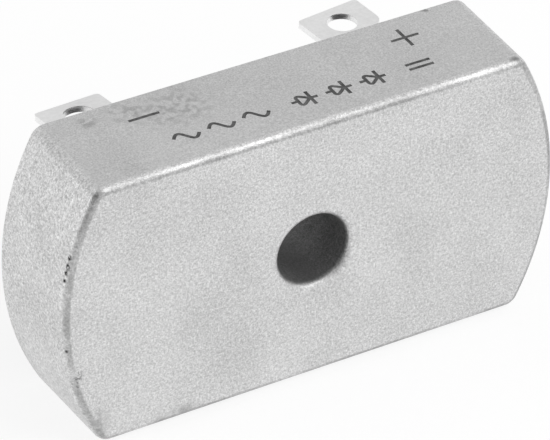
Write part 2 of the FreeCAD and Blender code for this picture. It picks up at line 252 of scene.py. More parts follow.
@dataclass
class SharedEffects:
    """The effects that several finishes use, each a node group that is built once."""

    grain: Tree = field(init=False)
    patch: Tree = field(init=False)
    pit_border: Limits = (0.04, 0.16)
    pit_choice: Limits = (0.80, 0.84)
    patch_border: Limits = (0.3, 1.0)
    ragged_border: float = 0.08

    def __post_init__(self) -> None:
        """Build the groups."""
        self.grain = self.build_grain()
        self.patch = self.build_patch()

    def build_grain(self) -> Tree:
        """Fine grain, wide clouds and scattered pits.

        Returns:
            The node group.
        """
        number = "NodeSocketFloat"
        inputs = {"Grain Size": (number, 0.3 * MM), "Cloud Size": (number, 8 * MM), "Pit Size": (number, 1.2 * MM)}
        graph, given, result = open_group(
            "surface_grain", inputs, {"Grain": number, "Cloud": number, "Pits": number}
        )
        place = graph.add("ShaderNodeTexCoord").outputs["Object"]
        grain_scale, cloud_scale, pit_scale = (graph.math("DIVIDE", 1.0, given.outputs[label]) for label in inputs)
        grain = graph.add("ShaderNodeTexNoise", {"Vector": place, "Scale": grain_scale, "Detail": 2.0})
        cloud = graph.add("ShaderNodeTexNoise", {"Vector": place, "Scale": cloud_scale, "Detail": 4.0})
        pits = graph.add("ShaderNodeTexVoronoi", {"Vector": place, "Scale": pit_scale})
        shallow = graph.spread(pits.outputs["Distance"], *self.pit_border, 1.0, 0.0)
        chosen = graph.add("ShaderNodeSeparateColor", {0: pits.outputs["Color"]})
        rare = graph.spread(chosen.outputs[0], *self.pit_choice)
        graph.tree.links.new(grain.outputs["Fac"], result.inputs["Grain"])
        graph.tree.links.new(cloud.outputs["Fac"], result.inputs["Cloud"])
        graph.tree.links.new(graph.math("MULTIPLY", shallow, rare), result.inputs["Pits"])
        return graph.tree

    def build_patch(self) -> Tree:
        """A ragged patch round a place, for one scuff, nick or smudge.

        Returns:
            The node group.
        """
        number = "NodeSocketFloat"
        inputs = {
            "Place": ("NodeSocketVector", (0.0, 0.0, 0.0)),
            "Reach": ("NodeSocketVector", (MM, MM, MM)),
            "Ragged Size": (number, 0.6 * MM),
            "Cover": (number, 0.5),
        }
        graph, given, result = open_group("worn_patch", inputs, {"Mask": number})
        place = graph.add("ShaderNodeTexCoord").outputs["Object"]
        away = graph.add("ShaderNodeVectorMath", {0: place, 1: given.outputs["Place"]}, operation="SUBTRACT")
        share = graph.add("ShaderNodeVectorMath", {0: away.outputs[0], 1: given.outputs["Reach"]}, operation="DIVIDE")
        distance = graph.add("ShaderNodeVectorMath", {0: share.outputs[0]}, operation="LENGTH").outputs["Value"]
        near = graph.spread(distance, *self.patch_border, 1.0, 0.0)
        scale = graph.math("DIVIDE", 1.0, given.outputs["Ragged Size"])
        noise = graph.add("ShaderNodeTexNoise", {"Vector": place, "Scale": scale, "Detail": 3.0})
        ragged = graph.math("SUBTRACT", noise.outputs["Fac"], graph.math("SUBTRACT", 1.0, given.outputs["Cover"]))
        sharp = graph.spread(ragged, 0.0, self.ragged_border)
        graph.tree.links.new(graph.math("MULTIPLY", near, sharp), result.inputs["Mask"])
        return graph.tree


# Finishes


@dataclass(frozen=True)
class Finish:
    """A surface with grain, clouds and pits; the other finishes build on it."""

    name: str
    light: Colour
    dark: Colour
    roughness: float
    roughness_range: float = 0.08
    metallic: float = 1.0
    grain_size: float = 0.3 * MM
    cloud_size: float = 8 * MM
    pit_size: float = 1.2 * MM
    grain_depth: float = 0.02 * MM
    pit_depth: float = 0.0
    grain_tint: float = 0.15

    def build(self, effects: SharedEffects) -> bpy.types.Material:
        """Make the material.

        Args:
            effects: the shared node groups.

        Returns:
            The new material.
        """
        material = bpy.data.materials.new(self.name)
        material.use_nodes = True
        graph = Graph(material.node_tree)
        sizes = {"Grain Size": self.grain_size, "Cloud Size": self.cloud_size, "Pit Size": self.pit_size}
        grain = graph.add("ShaderNodeGroup", sizes, node_tree=effects.grain)
        colour = graph.blend(graph.spread(grain.outputs["Cloud"], *NOISE), self.light, self.dark)
        shade = graph.spread(grain.outputs["Grain"], *NOISE, 1.0 - self.grain_tint, 1.0 + self.grain_tint)
        colour = graph.tone(colour, shade)
        low, high = self.roughness - self.roughness_range, self.roughness + self.roughness_range
        roughness = graph.spread(grain.outputs["Cloud"], *NOISE, low, high)
        height = graph.math("MULTIPLY", grain.outputs["Grain"], self.grain_depth)
        if self.pit_depth:
            sunk = graph.math("MULTIPLY", grain.outputs["Pits"], self.pit_depth)
            height = graph.math("SUBTRACT", height, sunk)
        colour, roughness, height = self.wear_and_painted_shade(graph, effects, (colour, roughness, height))
        bump = graph.add("ShaderNodeBump", {"Height": height, "Strength": 1.0, "Distance": 1.0})
        shader = graph.add(
            "ShaderNodeBsdfPrincipled",
            {"Base Color": colour, "Roughness": roughness, "Normal": bump.outputs[0], "Metallic": self.metallic},
        )
        graph.add("ShaderNodeOutputMaterial", {"Surface": shader.outputs[0]})
        return material

    def wear_and_painted_shade(self, graph: Graph, effects: SharedEffects, surface: Surface) -> Surface:
        """Add wear and painted shade; a plain finish has none.

        Args:
            graph: the material's graph.
            effects: the shared node groups.
            surface: the colour, the roughness and the height so far.

        Returns:
            The three with the wear and the painted shade in them.
        """
        return surface


@dataclass(frozen=True)
class Patch:
    """One worn place on the case, with its middle and reach in millimetres."""

    place: tuple[float, float, float]
    reach: tuple[float, float, float]
    ragged_size: float
    cover: float
    strength: float
    colour: Colour = (0.14, 0.14, 0.14)


@dataclass(frozen=True)
class CastFinish(Finish):
    """Tumbled die-cast aluminium: grainy ends, long sides with fewer specks and a painted shade, smoother edges, a
    painted shade along the rounded edges and in the bore, scuffs, nicks.
    """

    # Painted shade: the flat long sides are darkened by this factor.
    side_shade_tone: float = 0.93
    # Painted shade: the rounded edges beside the front and the back are darkened by this factor.
    edge_shade_tone: float = 0.62
    edge_roughness: float = 0.44
    edge_patch_size: float = 5 * MM
    edge_patch_share: float = 0.35
    edge_patch_limits: Limits = (0.35, 0.6)
    outer_edge_rise: Limits = (0.12, 0.4)
    outer_edge_fall: Limits = (0.9, 0.99)
    inner_edge_rise: Limits = (0.4, 0.75)
    inner_edge_fall: Limits = (0.95, 0.998)
    side_limits: Limits = (0.92, 0.995)
    end_limits: Limits = (0.45, 0.8)
    lip_reach: float = 6.2 * MM
    # Painted shade: the wall of the bore is darkened by this factor.
    bore_shade_tone: float = 0.4
    bore_radius: float = 4.65 * MM
    bore_roughness: float = 0.2
    bore_fade: float = 0.25 * MM
    speck_size: float = 0.4 * MM
    speck_roughness: float = 0.7
    speck_tint: float = 0.2
    side_specks: float = 0.4
    end_specks: float = 1.4
    end_grain: float = 2.2
    patches: tuple[Patch, ...] = ()

    def from_axis(self, graph: Graph, place: Socket) -> Socket:
        """The distance from the axis of the bore.

        Args:
            graph: the material's graph.
            place: the place on the case.

        Returns:
            The distance's socket.
        """
        low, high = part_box("case")
        away = graph.add("ShaderNodeSeparateXYZ", {0: place})
        height = graph.math("SUBTRACT", away.outputs[2], (low.z + high.z) / 2)
        return graph.span(away.outputs[0], height)

    def wear_and_painted_shade(self, graph: Graph, effects: SharedEffects, surface: Surface) -> Surface:
        """Treat the long sides, the ends and the edges apart, with painted shade on the long sides, along the rounded
        edges and in the bore, then add the worn patches.

        Args:
            graph: the material's graph.
            effects: the shared node groups.
            surface: the colour, the roughness and the height so far.

        Returns:
            The three with the wear and the painted shade in them.
        """
        colour, roughness, height = surface
        source = graph.add("ShaderNodeTexCoord")
        place = source.outputs["Object"]
        facing = graph.add("ShaderNodeSeparateXYZ", {0: source.outputs["Normal"]})
        across, depth, up = (graph.math("ABSOLUTE", output) for output in facing.outputs)
        at_outer_edge = graph.band(depth, self.outer_edge_rise, self.outer_edge_fall)
        # Mask of the painted shade along the rounded edges; below it is kept off the bore's lip and broken into noisy
        # patches.
        edge_shade_mask = graph.band(depth, self.inner_edge_rise, self.inner_edge_fall)
        radius = self.from_axis(graph, place)
        off_lip = graph.spread(radius, self.lip_reach, self.lip_reach + self.bore_fade)
        patchy = graph.add("ShaderNodeTexNoise", {"Vector": place, "Scale": 1 / self.edge_patch_size, "Detail": 4.0})
        share = graph.spread(patchy.outputs["Fac"], *self.edge_patch_limits, self.edge_patch_share)
        edge_shade_mask = graph.math("MULTIPLY", graph.math("MULTIPLY", edge_shade_mask, off_lip), share)
        at_outer_edge = graph.math("MULTIPLY", at_outer_edge, off_lip)
        at_side = graph.spread(up, *self.side_limits)
        at_end = graph.spread(across, *self.end_limits)
        specks = graph.add(
            "ShaderNodeTexNoise",
            {"Vector": place, "Scale": 1 / self.speck_size, "Detail": 3.0, "Roughness": self.speck_roughness},
        )
        speckle = graph.spread(specks.outputs["Fac"], *NOISE, 1.0 - self.speck_tint, 1.0 + self.speck_tint)
        share = graph.spread(at_side, 0.0, 1.0, 1.0, self.side_specks)
        share = graph.math("MULTIPLY", share, graph.spread(at_end, 0.0, 1.0, 1.0, self.end_specks))
        speckle = graph.math("ADD", 1.0, graph.math("MULTIPLY", graph.math("SUBTRACT", speckle, 1.0), share))
        colour = graph.tone(colour, speckle)
        # Painted shade: darken the flat long sides.
        colour = graph.tone(colour, graph.spread(at_side, 0.0, 1.0, 1.0, self.side_shade_tone))
        # Painted shade: darken the rounded edges beside the front and the back.
        colour = graph.tone(colour, graph.spread(edge_shade_mask, 0.0, 1.0, 1.0, self.edge_shade_tone))
        smooth = graph.spread(at_outer_edge, 0.0, 1.0, 0.0, self.roughness - self.edge_roughness)
        roughness = graph.math("SUBTRACT", roughness, smooth)
        height = graph.math("MULTIPLY", height, graph.spread(at_end, 0.0, 1.0, 1.0, self.end_grain))
        in_bore = graph.spread(radius, self.bore_radius, self.bore_radius + self.bore_fade, 1.0, 0.0)
        # Painted shade: darken the wall of the bore.
        colour = graph.tone(colour, graph.spread(in_bore, 0.0, 1.0, 1.0, self.bore_shade_tone))
        roughness = graph.math("ADD", roughness, graph.math("MULTIPLY", in_bore, self.bore_roughness))
        for patch in self.patches:
            inputs = {
                "Place": Vector(patch.place) * MM,
                "Reach": Vector(patch.reach) * MM,
                "Ragged Size": patch.ragged_size * MM,
                "Cover": patch.cover,
            }
            worn = graph.add("ShaderNodeGroup", inputs, node_tree=effects.patch)
            mask = graph.math("MULTIPLY", worn.outputs["Mask"], patch.strength)
            colour = graph.blend(mask, colour, patch.colour)
            height = graph.math("SUBTRACT", height, graph.math("MULTIPLY", mask, self.grain_depth))
        return colour, roughness, height


# Meshes


def evaluated_mesh(item: Item) -> bpy.types.Mesh:
    """Turn an object with its modifiers into a plain mesh.

    Args:
        item: the object.

    Returns:
        A new mesh that holds the result.
    """
    graph = bpy.context.evaluated_depsgraph_get()
    return bpy.data.meshes.new_from_object(item.evaluated_get(graph), depsgraph=graph)


def add_object(name: str, data: bpy.types.ID) -> Item:
    """Link a new object at the origin.

    Args:
        name: the object's name.
        data: its mesh, curve, light or camera.

    Returns:
        The object.
    """
    item = bpy.data.objects.new(name, data)
    bpy.context.scene.collection.objects.link(item)
    return item


@contextmanager
def edited(mesh: bpy.types.Mesh) -> Iterator[bmesh.types.BMesh]:
    """Open a mesh for changes, and write them back at the end.

    Args:
        mesh: the mesh.

    Yields:
        The mesh in the form that bmesh changes.
    """
    shape = bmesh.new()
    shape.from_mesh(mesh)
    yield shape
    shape.to_mesh(mesh)
    shape.free()


def settle(item: Item) -> None:
    """Replace an object's mesh by the result of its modifiers, and remove them.

    Args:
        item: the object to settle.
    """
    mesh = evaluated_mesh(item)
    item.modifiers.clear()
    old = item.data
    item.data = mesh
    bpy.data.meshes.remove(old)


def dress(mesh: bpy.types.Mesh, *materials: bpy.types.Material, used: int = 0) -> None:
    """Give a mesh its material slots, and one of them to all its faces.

    Args:
        mesh: the mesh.
        materials: the materials, in the order of the slots.
        used: the slot that every face gets.
    """
    mesh.materials.clear()
    for material in materials:
        mesh.materials.append(material)
    mesh.polygons.foreach_set("material_index", [used] * len(mesh.polygons))


def hand_over(item: Item, slot: Slot, *nodes: str) -> None:
    """Attach a finished piece to the body, and hide the solids that it stands for.

    Args:
        item: the finished piece.
        slot: not used.
        nodes: the solids that it stands for.
    """
    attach(item, BODY)
    if nodes:
        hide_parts(*nodes)
    log.info("%s: %d faces", item.name, len(item.data.polygons))


@dataclass
class RefinedSolid:
    """A close copy of a solid, with its triangles merged and its sharp edges broken."""

    node: str
    name: str
    edge_break: float
    break_steps: int = 2
    flat_angle: float = math.radians(0.4)
    sharp_angle: float = math.radians(35)
    merge_distance: float = 0.001 * MM

    def build(self) -> Item:
        """Copy the solid and merge its triangles into faces.

        Returns:
            The new object, without its edge break.
        """
        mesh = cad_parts[self.node].data.copy()
        mesh.name = self.name
        mesh.materials.clear()
        with edited(mesh) as shape:
            bmesh.ops.remove_doubles(shape, verts=shape.verts, dist=self.merge_distance)
            bmesh.ops.dissolve_limit(shape, angle_limit=self.flat_angle, verts=shape.verts, edges=shape.edges)
        return add_object(self.name, mesh)

    def break_edges(self, item: Item, material: int = -1) -> None:
        """Break the sharp edges.

        Args:
            item: the object that build made.
            material: the slot of the broken edges' material, or -1 for that of the faces beside them.
        """
        bevel = item.modifiers.new("edge_break", "BEVEL")
        bevel.width = self.edge_break
        bevel.segments = self.break_steps
        bevel.limit_method = "ANGLE"
        bevel.angle_limit = self.sharp_angle
        bevel.material = material
        settle(item)

    def smooth(self, item: Item, borders: bool = False) -> None:
        """Smooth the shading, with flat faces kept flat and sharp edges sharp.

        Args:
            item: the object in its last shape.
            borders: whether the borders between two materials are sharp too.
        """
        item.data.shade_smooth()
        item.data.set_sharp_from_angle(angle=self.sharp_angle)
        if borders:
            self.sharpen_borders(item.data)
        weighted = item.modifiers.new("flat_faces", "WEIGHTED_NORMAL")
        weighted.keep_sharp = True
        settle(item)

    def sharpen_borders(self, mesh: bpy.types.Mesh) -> None:
        """Mark the edges between faces of different materials as sharp.

        Args:
            mesh: the mesh.
        """
        with edited(mesh) as shape:
            for edge in shape.edges:
                if len({face.material_index for face in edge.link_faces}) > 1:
                    edge.smooth = False


# The case


@dataclass
class Legend:
    """Plain signs cut into the upper side of the case, beside the terminals that they stand for."""

    tool_radius: float = 0.26 * MM
    cut_depth: float = 0.13 * MM
    tool_sides: int = 12
    tool_step: float = 0.12 * MM
    corner_radius: float = 0.3 * MM
    corner_steps: int = 4
    wave_height: float = 0.55
    wave_steps: int = 24
    end_share: float = 0.25
    minus_place: float = -16.67 * MM
    minus_length: float = 4.0 * MM
    plus_place: float = 18.2 * MM
    plus_length: float = 3.75 * MM
    sign_level: float = 10.65 * MM
    row_level: float = 5.0 * MM
    row_start: float = -14.2 * MM
    row_end: float = 16.8 * MM
    group_gap: float = 0.4
    glyph_half_width: float = 1.65 * MM
    glyph_half_height: float = 1.4 * MM
    cell_size: float = 0.9 * MM
    row: tuple[Glyph, ...] = (Glyph.WAVE,) * 3 + (Glyph.DIODE,) * 3 + (Glyph.STEADY,)

    def strokes(self, glyph: Glyph) -> list[Line]:
        """The strokes of a sign, as points from -1 to 1; a closed one ends where it starts.

        Args:
            glyph: the sign.

        Returns:
            A list of lines, each a list of points.
        """
        if glyph is Glyph.MINUS:
            return [[(-1, 0), (1, 0)]]
        if glyph is Glyph.PLUS:
            return [[(-1, 0), (1, 0)], [(0, -1), (0, 1)]]
        if glyph is Glyph.STEADY:
            return [[(-1, 0.35), (1, 0.35)], [(-1, -0.35), (1, -0.35)]]
        if glyph is Glyph.DIODE:
            arrow = [(-0.5, 0.85), (0.45, 0), (-0.5, -0.85), (-0.5, 0.85)]
            return [[(-1.05, 0), (-0.5, 0)], arrow, [(0.5, 1), (0.5, -1)], [(0.5, 0), (1.05, 0)]]
        shares = [index / self.wave_steps for index in range(self.wave_steps + 1)]
        return [[(2 * share - 1, self.wave_height * math.sin(2 * math.pi * share)) for share in shares]]

    def row_places(self) -> list[float]:
        """Where the signs of the row stand.

        Returns:
            A place along the case for each sign.
        """
        steps = [0.0]
        for before, glyph in zip(self.row, self.row[1:]):
            steps.append(steps[-1] + (1.0 if glyph is before else 1.0 + self.group_gap))
        return [self.row_start + (self.row_end - self.row_start) * step / steps[-1] for step in steps]

    def divide(self, mesh: bpy.types.Mesh, surface: "Plane") -> None:
        """Divide the side under the legend into cells, so that the cut leaves only simple faces.

        Args:
            mesh: the mesh that the legend is cut into.
            surface: the side of the case that is cut.
        """
        points = [point for lines in self.passes() for line in lines for point in line]
        planes = []
        for axis, offset in ((0, 0.0), (1, surface.face_y)):
            start = min(point[axis] for point in points) - self.cell_size
            stop = max(point[axis] for point in points) + self.cell_size
            for index in range(math.ceil((stop - start) / self.cell_size) + 1):
                place, normal = Vector(), Vector()
                place[axis], normal[axis] = start + index * self.cell_size + offset, 1.0
                planes.append((place, normal))
        with edited(mesh) as shape:
            for place, normal in planes:
                faces = [face for face in shape.faces if surface.holds(face)]
                edges = {edge for face in faces for edge in face.edges}
                verts = {vert for face in faces for vert in face.verts}
                bmesh.ops.bisect_plane(shape, geom=[*verts, *edges, *faces], plane_co=place, plane_no=normal)

    def passes(self) -> list[list[Line]]:
        """The strokes of the legend, sorted so that no two strokes of a pass meet.

        Returns:
            Passes of lines of points, each a place along the case and a level behind the mounting face.
        """
        minus, plus = self.minus_length / 2, self.plus_length / 2
        signs = [
            (Glyph.MINUS, self.minus_place, self.sign_level, minus, minus),
            (Glyph.PLUS, self.plus_place, self.sign_level, plus, plus),
        ]
        for glyph, place in zip(self.row, self.row_places()):
            signs.append((glyph, place, self.row_level, self.glyph_half_width, self.glyph_half_height))
        passes: list[list[Line]] = []
        for glyph, place, level, wide, high in signs:
            for index, stroke in enumerate(self.strokes(glyph)):
                if index == len(passes):
                    passes.append([])
                passes[index].append([(place + u * wide, level + v * high) for u, v in stroke])
        return passes

    def end_rounding(self, graph: Graph, radius: Socket) -> Socket:
        """Thin the tool towards the open ends of a stroke, so that they come out round.

        Args:
            graph: the tree's graph.
            radius: the tool's radius.

        Returns:
            The share of the radius at each point.
        """
        along = graph.add("GeometryNodeSplineParameter").outputs["Length"]
        whole = graph.add("GeometryNodeSplineLength").outputs["Length"]
        to_end = graph.math("MINIMUM", along, graph.math("SUBTRACT", whole, along))
        share = graph.math("MINIMUM", graph.math("DIVIDE", to_end, radius), 1.0)
        rest = graph.math("POWER", graph.math("SUBTRACT", 1.0, share), 2.0)
        rounded = graph.math("SQRT", graph.math("SUBTRACT", 1.0, rest))
        closed = graph.add("GeometryNodeInputSplineCyclic").outputs[0]
        return graph.math("MAXIMUM", graph.math("MAXIMUM", rounded, self.end_share), closed)

    def cutter_tree(self, material: bpy.types.Material) -> Tree:
        """Geometry nodes that run a round cutter along every stroke.

        Args:
            material: the finish of the cut surface.

        Returns:
            The node tree.
        """
        tree = bpy.data.node_groups.new("stroke_cutter", "GeometryNodeTree")
        tree.interface.new_socket("Strokes", in_out="INPUT", socket_type="NodeSocketGeometry")
        tree.interface.new_socket("Tool Radius", in_out="INPUT", socket_type="NodeSocketFloat")
        tree.interface.new_socket("Cutter", in_out="OUTPUT", socket_type="NodeSocketGeometry")
        graph = Graph(tree)
        given = graph.add("NodeGroupInput")
        radius = given.outputs["Tool Radius"]
        bent = graph.add(
            "GeometryNodeFilletCurve",
            {
                "Curve": given.outputs["Strokes"],
                "Radius": self.corner_radius,
                "Limit Radius": True,
                "Count": self.corner_steps,
            },
            mode="POLY",
        )
        stepped = graph.add(
            "GeometryNodeResampleCurve", {"Curve": bent.outputs[0], "Length": self.tool_step}, mode="LENGTH"
        )
        rounded = graph.add(
            "GeometryNodeSetCurveRadius",
            {"Curve": stepped.outputs[0], "Radius": self.end_rounding(graph, radius)},
        )
        circle = graph.add("GeometryNodeCurvePrimitiveCircle", {"Resolution": self.tool_sides, "Radius": radius})
        sweep = graph.add(
            "GeometryNodeCurveToMesh",
            {"Curve": rounded.outputs[0], "Profile Curve": circle.outputs[0], "Fill Caps": True},
        )
        real = graph.add("GeometryNodeRealizeInstances", {0: sweep.outputs[0]})
        dressed = graph.add("GeometryNodeSetMaterial", {"Geometry": real.outputs[0], "Material": material})
        graph.add("NodeGroupOutput", {0: dressed.outputs[0]})
        return tree

    def cutter(self, lines: list[Line], surface: "Plane", tree: Tree) -> Item:
        """Build the solid that cuts one pass of the legend.

        Args:
            lines: the pass.
            surface: the side of the case that is cut.
            tree: the geometry nodes that run the tool.

        Returns:
            An object that holds the cutter.
        """
        curve = bpy.data.curves.new("legend_strokes", "CURVE")
        curve.dimensions = "3D"
        raised = surface.normal * (self.tool_radius - self.cut_depth)
        for line in lines:
            spline = curve.splines.new("POLY")
            if line[0] == line[-1]:
                spline.use_cyclic_u = True
                line = line[:-1]
            spline.points.add(len(line) - 1)
            for point, (x, level) in zip(spline.points, line):
                point.co = (*(surface.at(x, level) + raised), 1.0)
        item = add_object("legend_cutter", curve)
        modifier = item.modifiers.new("strokes", "NODES")
        modifier.node_group = tree
        socket = tree.interface.items_tree["Tool Radius"]
        modifier[socket.identifier] = self.tool_radius
        made = add_object("legend_cutter_mesh", evaluated_mesh(item))
        bpy.data.objects.remove(item)
        return made


@dataclass
class Plane:
    """A flat side of the case."""

    point: Vector
    normal: Vector
    face_y: float
    tolerance: float = 0.001 * MM
    same_direction: float = 0.9999

    def at(self, x: float, level: float) -> Vector:
        """The point of the side at a place along the case and a level behind the mounting face.

        Args:
            x: the place along the case.
            level: the level behind the mounting face.

        Returns:
            The point.
        """
        y = self.face_y + level
        n, p = self.normal, self.point
        z = p.z - (n.x * (x - p.x) + n.y * (y - p.y)) / n.z
        return Vector((x, y, z))

    def holds(self, face: bmesh.types.BMFace) -> bool:
        """Whether a face lies in the plane."""
        near = abs((face.calc_center_median() - self.point).dot(self.normal)) < self.tolerance
        return near and face.normal.dot(self.normal) > self.same_direction


@dataclass
class Case:
    """The die-cast case with its legend."""

    finish: CastFinish
    mark_finish: Finish
    solid: RefinedSolid = field(
        default_factory=lambda: RefinedSolid("case", "case_casting", edge_break=0.12 * MM)
    )
    legend: Legend = field(default_factory=Legend)
    upward_share: float = 0.9

    def upper_side(self) -> Plane:
        """Find the flat upper side of the case.

        Returns:
            The plane of its largest upward triangle.
        """
        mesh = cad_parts["case"].data
        upward = [face for face in mesh.polygons if face.normal.z > self.upward_share]
        largest = max(upward, key=lambda face: face.area)
        return Plane(largest.center.copy(), largest.normal.copy(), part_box("case")[0].y)

    def cut_legend(self, item: Item, marks: bpy.types.Material) -> None:
        """Cut the legend, a pass at a time, with the lengths in millimetres so that the cut stays exact.

        Args:
            item: the case.
            marks: the finish of the cut surface, which is the case's second material.
        """
        side = self.upper_side()
        tree = self.legend.cutter_tree(marks)
        self.legend.divide(item.data, side)
        item.data.transform(Matrix.Scale(1 / MM, 4))
        for lines in self.legend.passes():
            cutter = self.legend.cutter(lines, side, tree)
            dress(cutter.data, *item.data.materials, used=1)
            cutter.data.transform(Matrix.Scale(1 / MM, 4))
            cut = item.modifiers.new("legend", "BOOLEAN")
            cut.object = cutter
            cut.operation = "DIFFERENCE"
            cut.solver = "MANIFOLD"
            settle(item)
            bpy.data.objects.remove(cutter)
        item.data.transform(Matrix.Scale(MM, 4))

    def build(self, effects: SharedEffects) -> None:
        """Build and dress the case.

        Args:
            effects: the shared node groups.
        """
        item = self.solid.build()
        marks = self.mark_finish.build(effects)
        dress(item.data, self.finish.build(effects), marks)
        self.solid.break_edges(item)
        self.cut_legend(item, marks)
        self.solid.smooth(item, borders=True)
        hand_over(item, Slot.CASTING, "case")


# Terminals


@dataclass
class Terminals:
    """The five stamped and tinned blades, with a narrow and darker edge break."""

    finish: Finish
    edge_finish: Finish
    edge_break: float = 0.1 * MM

    def build(self, effects: SharedEffects) -> None:
        """Build and dress the blades.

        Args:
            effects: the shared node groups.
        """
        materials = [self.finish.build(effects), self.edge_finish.build(effects)]
        for node, name in BLADES.items():
            solid = RefinedSolid(node, name, self.edge_break)
            item = solid.build()
            dress(item.data, *materials)
            solid.break_edges(item, material=1)
            solid.smooth(item)
            hand_over(item, Slot.TIN, node)


# Potting


@dataclass
class PottingSkin:
    """The cured surface of the resin, which climbs where it wets the case and the blades."""

    finish: Finish
    step: float = 0.3 * MM
    wall_margin: float = 1.0 * MM
    end_centre: float = 2.5 * MM
    hole_radius: float = 5.4 * MM
    rise: float = 0.7 * MM
    climb: float = 0.7 * MM
    ripple: float = 0.05 * MM
    ripple_size: float = 9 * MM
    lift: float = 0.03 * MM
    thickness: float = 0.5 * MM

    def outline_test(self, graph: Graph, place: Socket) -> Socket:
        """Mark the points that lie outside the resin.

        Args:
            graph: the tree's graph.
            place: the position of each point.

        Returns:
            A socket that is true outside.
        """
        low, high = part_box("potting_compound")
        reach = graph.add("ShaderNodeSeparateXYZ", {0: place})
        height = graph.math("SUBTRACT", reach.outputs[2], (low.z + high.z) / 2)
        over_hole = graph.math("LESS_THAN", graph.span(reach.outputs[0], height), self.hole_radius)
        half_height = (high.z - low.z) / 2 + self.wall_margin
        too_high = graph.math("GREATER_THAN", graph.math("ABSOLUTE", height), half_height)
        along = graph.math("ADD", graph.math("ABSOLUTE", reach.outputs[0]), self.end_centre)
        end_radius = high.x + self.end_centre + self.wall_margin
        past_end = graph.math("GREATER_THAN", graph.span(along, height), end_radius)
        outside = graph.math("ADD", graph.math("ADD", over_hole, too_high), past_end)
        return graph.math("GREATER_THAN", outside, 0.5)

    def tree(self, material: bpy.types.Material) -> Tree:
        """Geometry nodes that lay a grid over the hollow and raise it near what it wets.

        Args:
            material: the resin's finish.

        Returns:
            The node tree.
        """
        tree = bpy.data.node_groups.new("potting_skin", "GeometryNodeTree")
        for label, kind in {"Base": "Geometry", "Wetted": "Object", "Rise": "Float", "Climb": "Float"}.items():
            tree.interface.new_socket(label, in_out="INPUT", socket_type=f"NodeSocket{kind}")
        tree.interface.new_socket("Skin", in_out="OUTPUT", socket_type="NodeSocketGeometry")
        graph = Graph(tree)
        given = graph.add("NodeGroupInput")
        low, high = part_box("potting_compound")
        wide = high.x - low.x + 2 * self.wall_margin
        tall = high.z - low.z + 2 * self.wall_margin
        columns, rows = int(wide / self.step), int(tall / self.step)
        grid = graph.add(
            "GeometryNodeMeshGrid", {"Size X": wide, "Size Y": tall, "Vertices X": columns, "Vertices Y": rows}
        )
        upright = (-math.pi / 2, 0.0, 0.0)
        place = (0.0, high.y + self.lift, (low.z + high.z) / 2)
        stood = graph.add(
            "GeometryNodeTransform", {"Geometry": grid.outputs[0], "Translation": place, "Rotation": upright}
        )
        position = graph.add("GeometryNodeInputPosition").outputs[0]
        trimmed = graph.add(
            "GeometryNodeDeleteGeometry",
            {"Geometry": stood.outputs[0], "Selection": self.outline_test(graph, position)},
            domain="FACE",
        )
        wetted = graph.add("GeometryNodeObjectInfo", {"Object": given.outputs["Wetted"]})
        near = graph.add(
            "GeometryNodeProximity",
            {"Geometry": wetted.outputs["Geometry"], "Sample Position": position},
            target_element="FACES",
        )
        fall = graph.math("DIVIDE", near.outputs["Distance"], given.outputs["Climb"])
        share = graph.math("POWER", math.e, graph.math("MULTIPLY", fall, -1.0))
        meniscus = graph.math("MULTIPLY", given.outputs["Rise"], share)
        noise = graph.add("ShaderNodeTexNoise", {"Vector": position, "Scale": 1 / self.ripple_size, "Detail": 1.0})
        ripple = graph.spread(noise.outputs["Fac"], *NOISE, 0.0, self.ripple)
        raised = graph.add("ShaderNodeCombineXYZ", {1: graph.math("ADD", meniscus, ripple)})
        moved = graph.add(
            "GeometryNodeSetPosition", {"Geometry": trimmed.outputs[0], "Offset": raised.outputs[0]}
        )
        real = graph.add("GeometryNodeRealizeInstances", {0: moved.outputs[0]})
        dressed = graph.add("GeometryNodeSetMaterial", {"Geometry": real.outputs[0], "Material": material})
        graph.add("NodeGroupOutput", {0: dressed.outputs[0]})
        return tree

    def wetted(self) -> Item:
        """Join copies of what the resin touches.

        Returns:
            An object with the case and the blades in it.
        """
        shape = bmesh.new()
        for node in ("case", *BLADES):
            shape.from_mesh(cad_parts[node].data)
        mesh = bpy.data.meshes.new("wetted")
        shape.to_mesh(mesh)
        shape.free()
        return add_object("wetted", mesh)

    def build(self, effects: SharedEffects) -> None:
        """Build and dress the resin's surface.

        Args:
            effects: the shared node groups.
        """
        material = self.finish.build(effects)
        item = add_object("potting_skin", bpy.data.meshes.new("potting_skin"))
        wetted = self.wetted()
        tree = self.tree(material)
        modifier = item.modifiers.new("skin", "NODES")
        modifier.node_group = tree
        values = {"Wetted": wetted, "Rise": self.rise, "Climb": self.climb}
        for label, value in values.items():
            modifier[tree.interface.items_tree[label].identifier] = value
        solidify = item.modifiers.new("depth", "SOLIDIFY")
        solidify.thickness = self.thickness
        solidify.offset = -1.0
        settle(item)
        dress(item.data, material)
        item.data.shade_smooth()
        bpy.data.objects.remove(wetted)
        hand_over(item, Slot.RESIN)
        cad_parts["potting_compound"].material_slots[0].material = material


# The circuit inside


